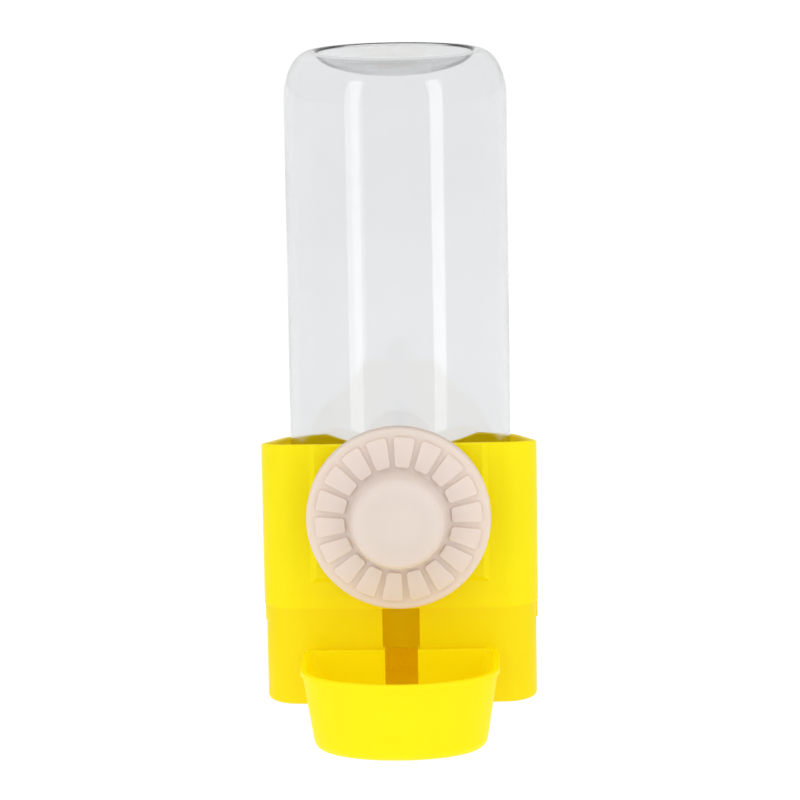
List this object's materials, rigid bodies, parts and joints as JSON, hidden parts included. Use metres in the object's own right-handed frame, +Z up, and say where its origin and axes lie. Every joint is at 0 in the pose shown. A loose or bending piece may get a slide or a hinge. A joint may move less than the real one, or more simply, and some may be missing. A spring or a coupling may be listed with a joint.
{
  "type": "poultry waterer fount",
  "caption": "Gravity waterer that hangs on a cage: an upturned clear bottle in a rounded yellow housing with a big clamp knob and a small drinking bowl in front.",
  "frame": {"origin": "on the clamping face at the front of the housing, on the axis of the clamp bolt", "axes": "+Z up; -Y out of the clamping face towards the cage, the knob and the drinking bowl; +X to the right as seen from the front"},
  "size_m": [0.104, 0.1515, 0.2526],
  "materials": {
    "yellow_plastic": "bright yellow moulded polypropylene, glossy",
    "clear_plastic": "clear blown PET",
    "ivory_plastic": "off-white moulded plastic, satin",
    "white_plastic": "white moulded plastic",
    "rubber": "black food-grade rubber",
    "steel": "zinc-plated or stainless steel"
  },
  "bodies": {
    "housing": {"upper_housing": "yellow_plastic", "clamp_bolt": "steel", "bolt_retainer": "steel"},
    "base": {"lower_housing": "yellow_plastic", "trough": "yellow_plastic"},
    "bottle": {"bottle": "clear_plastic", "bottle_cap": "yellow_plastic", "cap_gasket": "rubber", "spring_retainer": "white_plastic", "valve_spring": "steel"},
    "valve": {"valve_stem": "white_plastic", "valve_seal": "rubber"},
    "plate": {"pressure_plate": "ivory_plastic"},
    "knob": {"clamp_knob": "ivory_plastic", "knob_nut": "steel"}
  },
  "joints": [
    {"name": "bottle_lift", "type": "slide", "parent": "housing", "child": "bottle", "axis": [0, 0, 1], "range_m": [0, 0.12]},
    {"name": "valve_slide", "type": "slide", "parent": "bottle", "child": "valve", "axis": [0, 0, -1], "range_m": [0, 0.0038], "deforming": ["valve_spring"]},
    {"name": "plate_slide", "type": "slide", "parent": "housing", "child": "plate", "axis": [0, -1, 0], "range_m": [-0.00452, 0.00542]},
    {"name": "knob_turn", "type": "hinge", "parent": "plate", "child": "knob", "pos_m": [0, 0, 0], "axis": [0, -1, 0], "range_deg": [-1080, 1296]},
    {"name": "base_drop", "type": "slide", "parent": "housing", "child": "base", "axis": [0, 0, -1], "range_m": [0, 0.06]}
  ],
  "couplings": [
    {"joint": "plate_slide", "follows": "knob_turn", "m_per_rad": 0.00023873},
    {"joint": "valve_slide", "follows": "bottle_lift", "ratio": 0.031}
  ]
}
